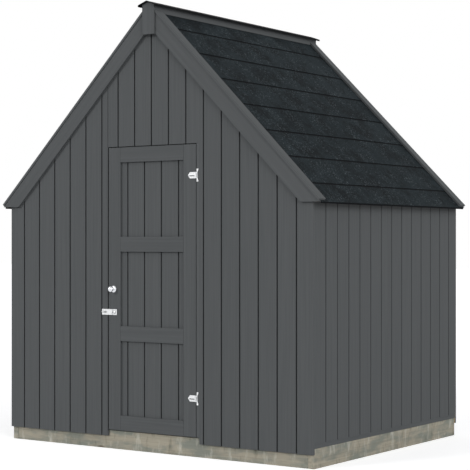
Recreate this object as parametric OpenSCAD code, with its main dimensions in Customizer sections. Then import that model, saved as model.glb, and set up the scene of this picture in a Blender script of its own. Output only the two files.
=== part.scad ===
// Garden shed with a steep shingled roof and one ledged and framed plank door.
// Millimetres. X runs along the front, the front gable faces -Y and Z is up.
// The origin is on the ground, under the middle of the roof.

/* [Overall] */
// Width over the cladding of the side walls
shed_w = 2446; // [1800:1:3600]
// Depth over the cladding of the two gables
shed_d = 1919; // [1200:1:3600]
// Height of the level cut along the eaves
eaves_h = 1600; // [1500:1:2200]
// Pitch of the roof, in degrees
roof_pitch = 45; // [38:1:50]

/* [Base and floor] */
// Height of the base timbers, which is also the floor level
base_h = 122; // [70:1:200]
// Thickness of the base timbers
base_t = 45; // [36:1:70]
// How far the side timbers stand out past the frame, under the side cladding
base_over = 15; // [0:1:16]
// Thickness of the floor boards
floor_t = 18; // [12:1:28]
// Thickness of a floor joist
joist_t = 45; // [36:1:60]

/* [Walls] */
// Thickness of the wall cladding
clad_t = 18; // [12:1:28]
// How far the gable cladding hangs down over the base
clad_drop = 36; // [0:1:60]
// Height of the plain strip under the side cladding
sill_h = 27; // [15:1:60]
// Thickness of the studs and posts, square in section
stud_t = 45; // [36:1:60]
// Height of the wall plate at its outer face
plate_h = 70; // [45:1:120]

/* [Roof] */
// How far the eaves stand out past the side cladding
eaves_over = 57; // [30:1:150]
// Thickness of the roof boards
deck_t = 18; // [12:1:25]
// Thickness of the shingles
shingle_t = 6; // [4:1:12]
// Depth of a rafter, square to the slope
rafter_h = 70; // [45:1:120]
// Depth of the ridge beam at its side faces
ridge_beam_h = 120; // [100:1:180]

/* [Roof trim] */
// Width of a barge board, square to the slope
barge_w = 98; // [70:1:140]
// Thickness of a barge board
barge_t = 20; // [14:1:30]
// Width of the cover board that lies on the roof's edge
cover_w = 75; // [50:1:120]
// Thickness of a cover board
cover_t = 15; // [10:1:25]
// How far a cover board stands out past the barge board
cover_lip = 6; // [0:1:20]
// Distance from the eaves cut to the end of a cover board, along the slope
cover_back = 11; // [0:1:40]
// Width of the finial board and of the ridge block
finial_w = 95; // [70:1:140]
// Thickness of the finial board
finial_t = 15; // [10:1:25]
// Height of the ridge cap's peak over the line where the shingles meet
cap_rise = 26; // [22:1:60]
// Width of the ridge cap
cap_w = 136; // [120:1:200]
// Pitch of the ridge cap, in degrees
cap_pitch = 20; // [10:1:30]
// Thickness of the ridge cap
cap_t = 3; // [2:0.5:5]
// How far the ridge cap stands out past the finial board
cap_over = 18; // [5:1:40]

/* [Door] */
// Width of the door leaf
door_w = 710; // [600:1:900]
// Height of the door leaf
door_h = 1851; // [1500:1:1900]
// How far the leaf's middle lies to the right of the shed's middle
door_offset = 1; // [-150:1:150]
// Gap round the leaf and behind it
door_gap = 5; // [5:1:8]
// Width of a stile and of a rail
stile_w = 98; // [70:1:120]
// Thickness of the stiles and rails
stile_t = 15; // [12:1:20]
// Thickness of the boards behind them
door_board_t = 16; // [12:1:20]
// Width of the painted strip beside the hinges
hinge_strip_w = 23; // [23:1:60]
// Width of the stop battens inside the door frame
stop_w = 23; // [15:1:30]

/* [Door hardware] */
// Height of a hinge strap
strap_h = 40; // [36:1:60]
// Length of a hinge strap from its pin
strap_l = 63; // [50:1:90]
// Length of the strap's point
strap_point = 16; // [8:1:30]
// Length of the slot along the strap
strap_slot_l = 40; // [20:1:44]
// Height of the slot along the strap
strap_slot_h = 6; // [3:0.5:8]
// How far the slot lies under the middle of the strap
strap_slot_drop = 4; // [0:1:8]
// Height of the fixed plate of a hinge
hinge_plate_h = 82; // [70:1:120]
// Reach of the fixed plate from the pin, at its ends
hinge_plate_w = 18; // [16:0.5:24]
// Reach of the fixed plate from the pin, at its waist
hinge_waist_w = 11; // [10:0.5:16]
// Height of the square ends of the fixed plate
hinge_ear_h = 9; // [5:1:15]
// Thickness of the hinge and hasp plates
plate_t = 2.5; // [2:0.5:3]
// Radius of a hinge pin
hinge_pin_r = 2.5; // [2:0.5:3]
// Distance from the top of the leaf to the middle of the top hinge
top_hinge_drop = 197; // [120:1:300]
// Height of the bottom hinge over the bottom of the leaf
bottom_hinge_rise = 245; // [120:1:400]
// Height of the knob over the bottom of the leaf
knob_rise = 924; // [850:1:1100]
// Distance from the leaf's edge to the middle of the knob
knob_inset = 42; // [34:1:60]
// Diameter of the knob's head
knob_d = 40; // [30:1:50]
// Length of the knob's head
knob_head = 25; // [18:1:28]
// How far the knob stands out from the stile
knob_reach = 45; // [40:1:48]
// Diameter of the knob's neck
neck_d = 17; // [12:1:24]
// Diameter of the knob's rose
rose_d = 44; // [42:1:60]
// Thickness of the knob's rose
rose_t = 5; // [3:1:8]
// Height of the hasp over the bottom of the leaf
hasp_rise = 773; // [600:1:820]
// Height of the hasp's plates
hasp_h = 38; // [36:1:60]
// Distance from the leaf's edge to the hasp's pin
hasp_inset = 30; // [24:1:36]
// Length of the plate that holds the hasp's pin
hasp_plate_l = 40; // [30:1:60]
// Length of the hasp's swinging leaf from its pin to its end
hasp_l = 82; // [80:1:110]
// Radius of the hasp's pin
hasp_pin_r = 2; // [1.5:0.5:2.5]
// Diameter of the rod of the staple
staple_rod_d = 5; // [4:0.5:6]
// Distance between the middles of the staple's legs
staple_span = 24; // [20:1:26]
// Distance from the door leaf's edge to the middle of the staple
staple_offset = 31; // [28:1:36]
// How far the staple's legs run out past the hasp's pin before they bend
staple_stand = 10; // [8:1:14]
// Diameter of the collar at the foot of each leg of the staple
staple_foot_d = 9; // [8:0.5:9.5]

/* [Hidden] */
$fn = 64;
// Clearances: pin in knuckle, round a knuckle, staple in slot, mitred ends, pieces side by side
pin_clear = 0.1;
knuckle_clear = 0.5;
slot_clear = 2.5;
mitre_gap = 0.3;
piece_gap = 1;
// Metal round a pin
knuckle_wall = 2;

// Outer faces of the frame, where the cladding is nailed on
frame_x = shed_w / 2 - clad_t;
frame_y = shed_d / 2 - clad_t;
base_x = frame_x + base_over;
room_x = frame_x - stud_t;
room_y = frame_y - stud_t;

// Roof planes, by their distance square to the slope from the top of the shingles
slope_t = tan(roof_pitch);
slope_c = cos(roof_pitch);
ridge_z = eaves_h + (shed_w / 2 + eaves_over) * slope_t;
deck_top = -shingle_t;
deck_under = deck_top - deck_t;
function roof_z(x, d) = ridge_z + d / slope_c - abs(x) * slope_t;
function roof_x(z, d) = (ridge_z + d / slope_c - z) / slope_t;

// Ridge cap planes, by their distance square to the cap from its top
function cap_z(x, d) = ridge_z + cap_rise - abs(x) * tan(cap_pitch) - d / cos(cap_pitch);

barge_y = shed_d / 2 + barge_t;
cover_y = barge_y + cover_lip;
finial_y = barge_y + finial_t;
cap_y = finial_y + cap_over;
plate_z = roof_z(frame_x, deck_under) - plate_h;
ridge_beam_z = roof_z(stud_t / 2, deck_under) - ridge_beam_h;

// Door leaf and the opening round it
leaf_x0 = door_offset - door_w / 2;
leaf_x1 = door_offset + door_w / 2;
leaf_z0 = base_h + door_gap;
leaf_z1 = leaf_z0 + door_h;
open_x0 = leaf_x0 - door_gap;
open_x1 = leaf_x1 + door_gap;
open_z1 = leaf_z1 + door_gap;
strip_x1 = open_x1 + hinge_strip_w;
face_y = -shed_d / 2;
board_y = face_y + stile_t;
leaf_back_y = board_y + door_board_t;

// Hinges
knuckle_r = hinge_pin_r + knuckle_wall;
hinge_x = leaf_x1 + door_gap / 2;
hinge_y = face_y - knuckle_r - knuckle_clear;
hinge_zs = [leaf_z0 + bottom_hinge_rise, leaf_z1 - top_hinge_drop];

// Hasp and staple
hasp_knuckle_r = hasp_pin_r + knuckle_wall;
hasp_x = leaf_x0 + hasp_inset;
hasp_y = face_y - hasp_knuckle_r - knuckle_clear;
hasp_z = leaf_z0 + hasp_rise;
staple_x = leaf_x0 - staple_offset;
staple_y = hasp_y - staple_stand;
staple_foot_t = hasp_knuckle_r + knuckle_clear - plate_t / 2 - piece_gap;

timber = [0.60, 0.59, 0.52];
paint = [0.33, 0.34, 0.34];
bare = [0.78, 0.66, 0.48];
felt = [0.18, 0.20, 0.21];
metal = [0.10, 0.10, 0.10];
zinc = [0.92, 0.92, 0.92];

// A box between two corners
module block(a, b) {
    translate(a) cube(b - a);
}

// An outline in X and Z, drawn out from y0 to y1
module along_y(y0, y1) {
    translate([0, y1, 0]) rotate([90, 0, 0]) linear_extrude(y1 - y0) children();
}

// The same shape on the left and on the right
module both_sides() {
    children();
    mirror([1, 0, 0]) children();
}

// The same shape at the front and at the back
module both_ends() {
    children();
    mirror([0, 1, 0]) children();
}

// One layer of the right roof slope, cut off level at the eaves
module slope_layer(d0, d1, x0 = 0) {
    polygon([[x0, roof_z(x0, d0)], [roof_x(eaves_h, d0), eaves_h],
        [roof_x(eaves_h, d1), eaves_h], [x0, roof_z(x0, d1)]]);
}

// A wall panel from x0 to x1 and from z0 up to the roof boards
module gable_panel(x0, x1, z0) {
    peak = x0 < 0 && x1 > 0 ? [[0, roof_z(0, deck_under)]] : [];
    polygon(concat([[x0, z0], [x1, z0], [x1, roof_z(x1, deck_under)]], peak,
        [[x0, roof_z(x0, deck_under)]]));
}

module base_front_beam() {
    color(timber) block([base_t - base_x, -frame_y, 0], [base_x - base_t, base_t - frame_y, base_h]);
}

module base_back_beam() {
    color(timber) block([base_t - base_x, frame_y - base_t, 0], [base_x - base_t, frame_y, base_h]);
}

module base_left_beam() {
    color(timber) block([-base_x, -frame_y, 0], [base_t - base_x, frame_y, base_h]);
}

module base_right_beam() {
    color(timber) block([base_x - base_t, -frame_y, 0], [base_x, frame_y, base_h]);
}

// Joists on the ground, between the front and back beams
module floor_joists() {
    for (i = [-1:1])
        color(timber) translate([i * frame_x / 2, 0, 0])
            block([-joist_t / 2, base_t - frame_y, 0], [joist_t / 2, frame_y - base_t, base_h - floor_t]);
}

module floor_deck() {
    color(bare) block([base_t - base_x, base_t - frame_y, base_h - floor_t],
        [base_x - base_t, frame_y - base_t, base_h]);
}

module front_wall_left() {
    color(paint) along_y(face_y, -frame_y) gable_panel(-shed_w / 2, open_x0, base_h - clad_drop);
}

module front_wall_right() {
    color(paint) along_y(face_y, -frame_y) gable_panel(strip_x1, shed_w / 2, base_h - clad_drop);
}

// The cladding over the door
module front_gable() {
    color(paint) along_y(face_y, -frame_y) gable_panel(open_x0, strip_x1, open_z1);
}

module back_wall() {
    color(paint) along_y(frame_y, shed_d / 2) gable_panel(-shed_w / 2, shed_w / 2, base_h - clad_drop);
}

module side_cladding() {
    along_y(-frame_y, frame_y) gable_panel(frame_x, shed_w / 2, base_h + sill_h);
}

module left_wall() {
    color(paint) mirror([1, 0, 0]) side_cladding();
}

module right_wall() {
    color(paint) side_cladding();
}

// Plain strips that close the foot of the side walls
module sill_strips() {
    color(paint) both_sides()
        block([frame_x, -frame_y, base_h], [shed_w / 2, frame_y, base_h + sill_h]);
}

module corner_posts() {
    color(bare) both_sides() both_ends()
        block([room_x, room_y, base_h], [frame_x, frame_y, plate_z]);
}

// Bottom members of the wall frames, left open at the door
module sole_plates() {
    color(bare) {
        both_sides()
            block([room_x, -room_y + piece_gap, base_h], [frame_x, room_y - piece_gap, base_h + stud_t]);
        block([-room_x, room_y, base_h], [room_x, frame_y, base_h + stud_t]);
        block([-room_x, -frame_y, base_h], [open_x0 - stud_t, -room_y, base_h + stud_t]);
        block([open_x1 + stud_t, -frame_y, base_h], [room_x, -room_y, base_h + stud_t]);
    }
}

module side_studs() {
    for (y = [-1, 1] * room_y / 3)
        color(bare) both_sides() block([room_x, y - stud_t / 2, base_h + stud_t],
            [frame_x, y + stud_t / 2, plate_z]);
}

// Studs of the back gable, and the short one between the door head and the ridge
module gable_studs() {
    color(bare) {
        for (x = [-1, 1] * room_x / 2)
            along_y(room_y, frame_y) gable_panel(x - stud_t / 2, x + stud_t / 2, base_h + stud_t);
        block([-stud_t / 2, room_y, base_h + stud_t], [stud_t / 2, frame_y, ridge_beam_z]);
        block([-stud_t / 2, -frame_y, open_z1 + stud_t], [stud_t / 2, -room_y, ridge_beam_z]);
    }
}

// Timbers along the top of the side walls, bevelled to the roof
module wall_plates() {
    color(bare) both_sides() along_y(-frame_y, frame_y) gable_panel(room_x, frame_x, plate_z);
}

// Painted strip that carries the hinges, flush with the cladding
module hinge_strip() {
    color(paint) block([open_x1, face_y, base_h + door_gap], [strip_x1, -frame_y, open_z1]);
}

module door_posts() {
    color(bare) {
        along_y(-frame_y, -room_y) gable_panel(open_x0 - stud_t, open_x0, base_h);
        along_y(-frame_y, -room_y) gable_panel(open_x1, open_x1 + stud_t, base_h);
    }
}

module door_head() {
    color(bare) block([open_x0, -frame_y, open_z1], [open_x1, -room_y, open_z1 + stud_t]);
}

// Battens that the closed leaf meets, on both posts and under the head
module door_stops() {
    stop_y = leaf_back_y + door_gap;
    stop_z = open_z1 - stop_w;
    color(bare) {
        block([open_x0, stop_y, base_h], [open_x0 + stop_w, -room_y, open_z1]);
        block([open_x1 - stop_w, stop_y, base_h], [open_x1, -room_y, open_z1]);
        block([open_x0 + stop_w + piece_gap, stop_y, stop_z],
            [open_x1 - stop_w - piece_gap, -room_y, open_z1]);
    }
}

module ridge_beam() {
    color(bare) along_y(-frame_y, frame_y) gable_panel(-stud_t / 2, stud_t / 2, ridge_beam_z);
}

// Three rafters a side, from the ridge beam to the wall plate
module rafters() {
    for (y = [-1, 0, 1] * room_y * 2 / 3)
        color(bare) both_sides() along_y(y - stud_t / 2, y + stud_t / 2)
            polygon([[stud_t / 2, roof_z(stud_t / 2, deck_under - rafter_h)],
                [room_x, roof_z(room_x, deck_under - rafter_h)],
                [room_x, roof_z(room_x, deck_under)],
                [stud_t / 2, roof_z(stud_t / 2, deck_under)]]);
}

module right_roof_deck() {
    color(bare) along_y(face_y, -face_y) slope_layer(deck_under, deck_top);
}

module left_roof_deck() {
    mirror([1, 0, 0]) right_roof_deck();
}

module right_shingles() {
    color(felt) along_y(face_y, -face_y) slope_layer(deck_top, 0);
}

module left_shingles() {
    mirror([1, 0, 0]) right_shingles();
}

// A pair of barge boards on the front gable, which meet behind the finial
module front_barge_boards() {
    color(paint) both_sides() along_y(-barge_y, face_y) slope_layer(-barge_w, 0, mitre_gap / 2);
}

module back_barge_boards() {
    mirror([0, 1, 0]) front_barge_boards();
}

// A pair of boards that lie flat on the front edge of the roof, square at their lower ends
module front_cover_boards() {
    run = (ridge_z - eaves_h) / slope_t - cover_back * slope_c;
    foot = [run, roof_z(run, 0)];
    inner = finial_w / 2;
    color(paint) both_sides() along_y(-cover_y, cover_w - cover_y)
        polygon([[inner, roof_z(inner, 0)], foot,
            foot + cover_t * [sin(roof_pitch), cos(roof_pitch)], [inner, roof_z(inner, cover_t)]]);
}

module back_cover_boards() {
    mirror([0, 1, 0]) front_cover_boards();
}

// Upright board over the joint of the barge boards, peaked to fit under the cap
module front_finial() {
    half = finial_w / 2;
    color(paint) along_y(-finial_y, -barge_y)
        polygon([[-half, roof_z(half, -barge_w)], [half, roof_z(half, -barge_w)],
            [half, cap_z(half, cap_t)], [0, cap_z(0, cap_t)], [-half, cap_z(half, cap_t)]]);
}

module back_finial() {
    mirror([0, 1, 0]) front_finial();
}

// Timber that saddles the ridge and carries the cap
module ridge_block() {
    half = finial_w / 2;
    color(paint) along_y(-barge_y, barge_y)
        polygon([[-half, roof_z(half, 0)], [0, roof_z(0, 0)], [half, roof_z(half, 0)],
            [half, cap_z(half, cap_t)], [0, cap_z(0, cap_t)], [-half, cap_z(half, cap_t)]]);
}

// Folded metal over the ridge block
module ridge_cap() {
    half = cap_w / 2;
    color(metal) along_y(-cap_y, cap_y)
        polygon([[-half, cap_z(half, cap_t)], [0, cap_z(0, cap_t)], [half, cap_z(half, cap_t)],
            [half, cap_z(half, 0)], [0, cap_z(0, 0)], [-half, cap_z(half, 0)]]);
}

module door_boards() {
    color(paint) block([leaf_x0, board_y, leaf_z0], [leaf_x1, leaf_back_y, leaf_z1]);
}

module door_stiles() {
    color(paint) for (x = [leaf_x0, leaf_x1 - stile_w])
        block([x, face_y, leaf_z0], [x + stile_w, board_y, leaf_z1]);
}

// Four rails between the stiles, evenly spaced
module door_rails() {
    step = (door_h - stile_w) / 3;
    for (i = [0:3])
        color(paint) block([leaf_x0 + stile_w, face_y, leaf_z0 + i * step],
            [leaf_x1 - stile_w, board_y, leaf_z0 + i * step + stile_w]);
}

// The moving half of a hinge: a pointed, slotted strap on the stile and the middle knuckle
module hinge_strap() {
    face = knuckle_r + knuckle_clear;
    root = knuckle_r + piece_gap;
    tongue_h = strap_h / 2 - 2 * knuckle_clear;
    difference() {
        union() {
            along_y(face - plate_t, face) {
                polygon([[-root, strap_h / 2], [strap_point - strap_l, strap_h / 2], [-strap_l, 0],
                    [strap_point - strap_l, -strap_h / 2], [-root, -strap_h / 2]]);
                translate([-root - piece_gap, -tongue_h / 2])
                    square([root + piece_gap - hinge_pin_r, tongue_h]);
            }
            translate([0, 0, -tongue_h / 2]) cylinder(r = knuckle_r, h = tongue_h);
        }
        translate([0, 0, -tongue_h]) cylinder(r = hinge_pin_r + pin_clear, h = 2 * tongue_h);
        along_y(0, 2 * face)
            translate([-strap_l / 2, -strap_slot_drop]) square([strap_slot_l, strap_slot_h], center = true);
    }
}

module hinge_straps() {
    for (z = hinge_zs) color(zinc) translate([hinge_x, hinge_y, z]) hinge_strap();
}

// The fixed half of a hinge: a waisted plate on the strip, two knuckles and the pin
module hinge_plate() {
    face = knuckle_r + knuckle_clear;
    half = hinge_plate_h / 2;
    root = knuckle_r + piece_gap;
    knuckle_h = strap_h / 4;
    knuckle_zs = [-strap_h / 2, strap_h / 2 - knuckle_h];
    along_y(face - plate_t, face) {
        polygon([[root, -half], [hinge_plate_w, -half], [hinge_plate_w, hinge_ear_h - half],
            [hinge_waist_w, -strap_h / 2], [hinge_waist_w, strap_h / 2],
            [hinge_plate_w, half - hinge_ear_h], [hinge_plate_w, half], [root, half]]);
        for (z = knuckle_zs)
            translate([hinge_pin_r, z]) square([root + piece_gap - hinge_pin_r, knuckle_h]);
    }
    for (z = knuckle_zs) translate([0, 0, z]) cylinder(r = knuckle_r, h = knuckle_h);
    translate([0, 0, -strap_h / 2]) cylinder(r = hinge_pin_r, h = strap_h);
}

module hinge_plates() {
    for (z = hinge_zs) color(zinc) translate([hinge_x, hinge_y, z]) hinge_plate();
}

// A rose, a neck and a rounded head, turned about one axis
module door_knob() {
    round_r = knob_head / 2;
    flat_r = knob_d / 2 - round_r;
    color(zinc) translate([leaf_x0 + knob_inset, face_y, leaf_z0 + knob_rise]) rotate([90, 0, 0]) {
        cylinder(d = rose_d, h = rose_t);
        cylinder(d = neck_d, h = knob_reach - round_r);
        translate([0, 0, knob_reach - knob_head]) rotate_extrude() intersection() {
            translate([0, round_r]) union() {
                translate([0, -round_r]) square([flat_r, knob_head]);
                translate([flat_r, 0]) circle(r = round_r);
            }
            square([knob_d, knob_head]);
        }
    }
}

// The half of the hasp that is screwed to the stile, with its knuckles and pin
module hasp_plate() {
    back = hasp_knuckle_r + knuckle_clear;
    root = hasp_knuckle_r + piece_gap;
    knuckle_h = hasp_h / 4;
    color(zinc) translate([hasp_x, hasp_y, hasp_z]) {
        block([root, back - plate_t, -hasp_h / 2], [hasp_plate_l, back, hasp_h / 2]);
        for (z = [-hasp_h / 2, hasp_h / 2 - knuckle_h]) {
            block([hasp_pin_r, back - plate_t, z], [root + piece_gap, back, z + knuckle_h]);
            translate([0, 0, z]) cylinder(r = hasp_knuckle_r, h = knuckle_h);
        }
        translate([0, 0, -hasp_h / 2]) cylinder(r = hasp_pin_r, h = hasp_h);
    }
}

// The swinging leaf of the hasp, slotted to pass over the staple
module hasp_leaf() {
    root = hasp_knuckle_r + piece_gap;
    tongue_h = hasp_h / 2 - 2 * knuckle_clear;
    slot_l = staple_span + staple_rod_d + 2 * slot_clear;
    slot_h = staple_rod_d + 2 * slot_clear;
    color(zinc) translate([hasp_x, hasp_y, hasp_z]) difference() {
        union() {
            block([-hasp_l, -plate_t / 2, -hasp_h / 2], [-root, plate_t / 2, hasp_h / 2]);
            block([-root - piece_gap, -plate_t / 2, -tongue_h / 2], [-hasp_pin_r, plate_t / 2, tongue_h / 2]);
            translate([0, 0, -tongue_h / 2]) cylinder(r = hasp_knuckle_r, h = tongue_h);
        }
        translate([0, 0, -hasp_h]) cylinder(r = hasp_pin_r + pin_clear, h = 2 * hasp_h);
        translate([staple_x - hasp_x, 0, 0])
            block([-slot_l / 2, -plate_t, -slot_h / 2], [slot_l / 2, plate_t, slot_h / 2]);
    }
}

// The staple on the wall: a bent rod that a padlock goes through, with a collar at each foot
module hasp_staple() {
    half = staple_span / 2;
    color(zinc) translate([staple_x, face_y, hasp_z]) {
        for (x = [-half, half]) translate([x, 0, 0]) rotate([90, 0, 0]) {
            cylinder(d = staple_foot_d, h = staple_foot_t);
            cylinder(d = staple_rod_d, h = face_y - staple_y);
        }
        translate([0, staple_y - face_y, 0]) rotate([0, 0, 180])
            rotate_extrude(angle = 180) translate([half, 0]) circle(d = staple_rod_d);
    }
}

base_front_beam();
base_back_beam();
base_left_beam();
base_right_beam();
floor_joists();
floor_deck();
front_wall_left();
front_wall_right();
front_gable();
back_wall();
left_wall();
right_wall();
sill_strips();
corner_posts();
sole_plates();
side_studs();
gable_studs();
wall_plates();
hinge_strip();
door_posts();
door_head();
door_stops();
ridge_beam();
rafters();
left_roof_deck();
right_roof_deck();
left_shingles();
right_shingles();
front_barge_boards();
back_barge_boards();
front_cover_boards();
back_cover_boards();
front_finial();
back_finial();
ridge_block();
ridge_cap();
door_boards();
door_stiles();
door_rails();
hinge_straps();
hinge_plates();
door_knob();
hasp_plate();
hasp_leaf();
hasp_staple();
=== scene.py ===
import math
import random

import bmesh
import bpy
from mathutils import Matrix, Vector


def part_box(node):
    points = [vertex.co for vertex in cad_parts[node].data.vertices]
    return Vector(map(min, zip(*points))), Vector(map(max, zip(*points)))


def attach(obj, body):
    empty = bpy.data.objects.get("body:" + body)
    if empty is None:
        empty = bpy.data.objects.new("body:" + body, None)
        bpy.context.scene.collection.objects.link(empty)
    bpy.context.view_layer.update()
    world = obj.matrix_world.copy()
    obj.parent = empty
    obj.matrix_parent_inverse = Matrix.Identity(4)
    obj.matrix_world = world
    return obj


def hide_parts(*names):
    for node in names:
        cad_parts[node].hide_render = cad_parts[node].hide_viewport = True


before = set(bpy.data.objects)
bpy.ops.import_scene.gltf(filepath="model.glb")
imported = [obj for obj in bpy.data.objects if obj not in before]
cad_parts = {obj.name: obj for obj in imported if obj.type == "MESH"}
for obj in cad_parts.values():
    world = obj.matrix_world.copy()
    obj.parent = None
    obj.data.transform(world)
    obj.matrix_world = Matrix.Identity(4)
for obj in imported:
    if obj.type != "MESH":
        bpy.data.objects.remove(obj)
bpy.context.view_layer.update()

# --- Base timbers --------------------------------------------------------------------------------
# Four sawn, pressure treated softwood beams on the ground, butted at the corners and spiked
# together. They have stood outdoors: silvered grey over green-brown, with knots and soft arrises.

weld = 1e-5  # corners nearer than this are one corner
along_by, across_by = 9, 0.06  # metres by which one timber's grain may be shifted from another's
softened = 0.004  # the weathered beams' arris


def tone(text):
    """A colour written as sRGB hex, turned to linear."""
    parts = [int(text[i:i + 2], 16) / 255 for i in (0, 2, 4)]
    return [p / 12.92 if p <= 0.04045 else ((p + 0.055) / 1.055) ** 2.4 for p in parts] + [1.0]


def feed(tree, node, values):
    """Set a node's inputs: a socket is linked, a node links its first live output."""
    for key, value in values.items():
        if isinstance(value, bpy.types.Node):
            value = next(s for s in value.outputs if s.enabled)
        if isinstance(value, bpy.types.NodeSocket):
            tree.links.new(value, node.inputs[key])
        else:
            node.inputs[key].default_value = value


def add(tree, kind, values=None, **settings):
    """One node of a tree, with its settings and its inputs."""
    made = tree.nodes.new(kind)
    for key, value in settings.items():
        setattr(made, key, value)
    feed(tree, made, values or {})
    return made


def finish_named(name, **shader):
    """A material with one shader and nothing else yet, its tree and that shader."""
    made = bpy.data.materials.new(name)
    made.use_nodes = True
    tree = made.node_tree
    tree.nodes.clear()
    values = {key.replace("_", " "): value for key, value in shader.items()}
    surface = add(tree, "ShaderNodeBsdfPrincipled", values)
    add(tree, "ShaderNodeOutputMaterial", {"Surface": surface})
    return made, tree, surface


def wood_grain(tree, streak_mm, ring_mm):
    """Fibre streaks and growth rings that run along each board, from its own grain attribute."""
    grain = add(tree, "ShaderNodeAttribute", attribute_name="grain").outputs["Vector"]
    # A streak is 0.6 m long and streak_mm wide
    across = 1000 / streak_mm
    drawn_out = add(tree, "ShaderNodeMapping", {"Vector": grain, "Scale": (1.6, across, across)})
    fibre = add(tree, "ShaderNodeTexNoise", {
        "Vector": drawn_out, "Scale": 1, "Detail": 4, "Roughness": 0.6})
    # The pith lies beside the board, and the rings hardly change along it
    pith = add(tree, "ShaderNodeMapping", {
        "Vector": grain, "Scale": (0.04, 1, 1), "Location": (0, 0.02, 0.075)})
    wave_mm = 314  # how far apart the wave texture's rings are at a scale of 1
    rings = add(tree, "ShaderNodeTexWave", {
        "Vector": pith, "Scale": wave_mm / ring_mm, "Distortion": 2.2, "Detail": 3,
        "Detail Scale": 1.4, "Detail Roughness": 0.6}, wave_type="RINGS", rings_direction="X")
    return grain, fibre.outputs[0], rings.outputs["Fac"]


def finished(work, name):
    """A shape that has been built, as a mesh of that name."""
    mesh = bpy.data.meshes.new(name)
    work.to_mesh(mesh)
    work.free()
    return mesh


def placed(mesh, name, body, finish, slot, *nodes):
    """A finished mesh as a piece that rides on a body and stands for its CAD nodes."""
    piece = bpy.data.objects.new(name, mesh)
    bpy.context.scene.collection.objects.link(piece)
    if finish:
        mesh.materials.clear()
        mesh.materials.append(finish)
    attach(piece, body)
    if nodes:
        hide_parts(*nodes)
    return piece


def timber(node, body, finish, slot, arris=0.0015):
    """A CAD node's timbers as clean meshes, with rounded arrises and a grain along each one."""
    work = bmesh.new()
    work.from_mesh(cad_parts[node].data)
    bmesh.ops.remove_doubles(work, verts=work.verts, dist=weld)
    flat, corner = math.radians(1), math.radians(20)
    bmesh.ops.dissolve_limit(work, angle_limit=flat, verts=work.verts, edges=work.edges)
    sharp = [e for e in work.edges if e.calc_face_angle(0) > corner]
    bmesh.ops.bevel(work, geom=sharp, offset=arris, segments=2, profile=0.5, affect="EDGES")
    grain = work.verts.layers.float_vector.new("grain")
    board = work.verts.layers.float.new("board")
    chance = random.Random(node)
    for part in (work.verts, work.edges, work.faces):
        part.index_update()
    left = set(work.verts)
    while left:
        island, reach = set(), [min(left, key=lambda v: v.index)]
        while reach:
            vert = reach.pop()
            if vert not in island:
                island.add(vert)
                reach += [e.other_vert(vert) for e in vert.link_edges]
        left -= island
        edges = sorted({e for v in island for e in v.link_edges}, key=lambda e: e.index)
        longest = max(edges, key=lambda e: e.calc_length())
        along = (longest.verts[0].co - longest.verts[1].co).normalized()
        faces = sorted({f for v in island for f in v.link_faces}, key=lambda f: f.index)
        broad = max(faces, key=lambda f: f.calc_area()).normal
        across = along.cross(broad)
        middle = sum((v.co for v in island), Vector()) / len(island)
        shift, shade = chance.uniform(0, along_by), chance.random()
        for vert in island:
            place = vert.co - middle
            vert[grain] = Vector((place.dot(along) + shift, place.dot(across),
                                  place.dot(broad) + shift % across_by))
            vert[board] = shade
    return placed(finished(work, node + "_look"), node + "_look", body, finish, slot, node)


# Weathered softwood: matt and open grained, dull grey-beige with greenish patches a hand long
weathered, tree, surface = finish_named(
    "weathered_treated_softwood", Roughness=0.9, Specular_IOR_Level=0.2)
grain, fibre, _ = wood_grain(tree, 9, 14)
patch_at = add(tree, "ShaderNodeMapping", {"Vector": grain, "Scale": (4.2, 13, 13)})
patch = add(tree, "ShaderNodeTexNoise", {
    "Vector": patch_at, "Scale": 1, "Detail": 3, "Roughness": 0.6})
patched = add(tree, "ShaderNodeMapRange", {"Value": patch, "From Min": 0.42, "From Max": 0.6})
streaked = add(tree, "ShaderNodeMapRange", {
    "Value": fibre, "From Min": 0.4, "From Max": 0.7, "To Max": 0.45})
# Cross marks from saw and straps, 10 to 30 mm wide, some dark and some bleached
mark_at = add(tree, "ShaderNodeMapping", {"Vector": grain, "Scale": (12, 4, 4)})
mark = add(tree, "ShaderNodeTexNoise", {
    "Vector": mark_at, "Scale": 1, "Detail": 4, "Roughness": 0.65})
marked = add(tree, "ShaderNodeMapRange", {
    "Value": mark, "From Min": 0.56, "From Max": 0.7, "To Max": 0.7})
bleached = add(tree, "ShaderNodeMapRange", {
    "Value": mark, "From Min": 0.45, "From Max": 0.3, "To Max": 0.65})
# Dead knots 15 to 25 mm across, half a metre apart
knot_at = add(tree, "ShaderNodeMapping", {"Vector": grain, "Scale": (2.3, 7, 7)})
knot = add(tree, "ShaderNodeTexVoronoi", {"Vector": knot_at, "Scale": 1, "Randomness": 1})
knotted = add(tree, "ShaderNodeMapRange", {
    "Value": knot.outputs["Distance"], "From Min": 0.09, "From Max": 0.04, "To Max": 0.8})
colour = tone("aaa392")
for share, over in ((patched, "898c82"), (streaked, "77756a"), (marked, "5f5e52"),
                    (bleached, "cdc9bd"), (knotted, "5b5040")):
    colour = add(tree, "ShaderNodeMix", {0: share, 6: colour, 7: tone(over)}, data_type="RGBA")
bump = add(tree, "ShaderNodeBump", {"Height": fibre, "Distance": 0.002, "Strength": 0.5})
feed(tree, surface, {"Base Color": colour, "Normal": bump})

for node in ("base_front_beam", "base_back_beam", "base_left_beam", "base_right_beam"):
    timber(node, "shed", weathered, "base_timber", softened)

# --- Floor and inside frame ----------------------------------------------------------------------
# Planed, untreated softwood: joists and a boarded floor, studs, posts, plates, rafters and a ridge
# beam. Sawn to size, nailed together and left bare.

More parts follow.
